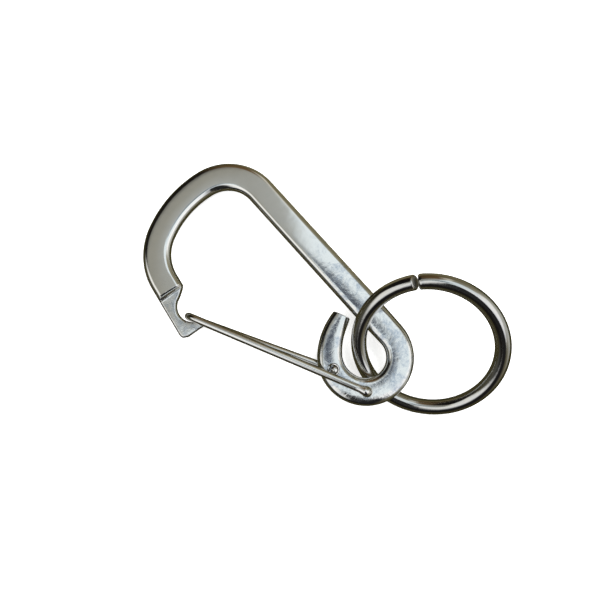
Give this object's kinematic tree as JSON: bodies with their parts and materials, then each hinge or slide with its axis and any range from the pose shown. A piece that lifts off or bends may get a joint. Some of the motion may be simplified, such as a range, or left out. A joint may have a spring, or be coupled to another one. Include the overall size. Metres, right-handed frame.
{
  "type": "carabiner keyring",
  "caption": "Pear-shaped snap clip bent from pressed rod, with a sprung wire gate, a hooked nose and a round key ring held in its curled eye.",
  "frame": {"origin": "centre of the eye, halfway through the pressed rod", "axes": "+Y along the straight spine towards the wide bend, +X from the gate towards the spine, +Z out of the front face"},
  "size_m": [0.048, 0.0725, 0.0175],
  "materials": {
    "frame_steel": "polished stainless steel, flat pressed faces with fine wear",
    "gate_wire": "bright drawn stainless spring wire",
    "ring_wire": "darker polished steel wire"
  },
  "bodies": {
    "frame": {"frame": "frame_steel"},
    "gate_front": {"gate_front_leg": "gate_wire"},
    "gate_rear": {"gate_rear_leg": "gate_wire"},
    "ring": {"ring": "ring_wire"}
  },
  "joints": [
    {"name": "gate_hinge", "type": "hinge", "parent": "frame", "child": "gate_front", "pos_m": [-0.00425, -0.00525, 0], "axis": [0, 0, -1], "range_deg": [0, 30], "stiffness_Nm_per_rad": 0.08, "springref_deg": -34.38},
    {"name": "gate_flex", "type": "hinge", "parent": "gate_front", "child": "gate_rear", "pos_m": [-0.02014, 0.0275, 0], "axis": [0, 0, -1], "range_deg": [0, 8.6]},
    {"name": "ring_swing", "type": "hinge", "parent": "frame", "child": "ring", "pos_m": [0.00016, 0.00144, 0], "axis": [0.866, -0.5, 0], "range_deg": [0, 115]}
  ],
  "couplings": [
    {"joint": "gate_flex", "follows": "gate_hinge", "ratio": 0.27}
  ]
}
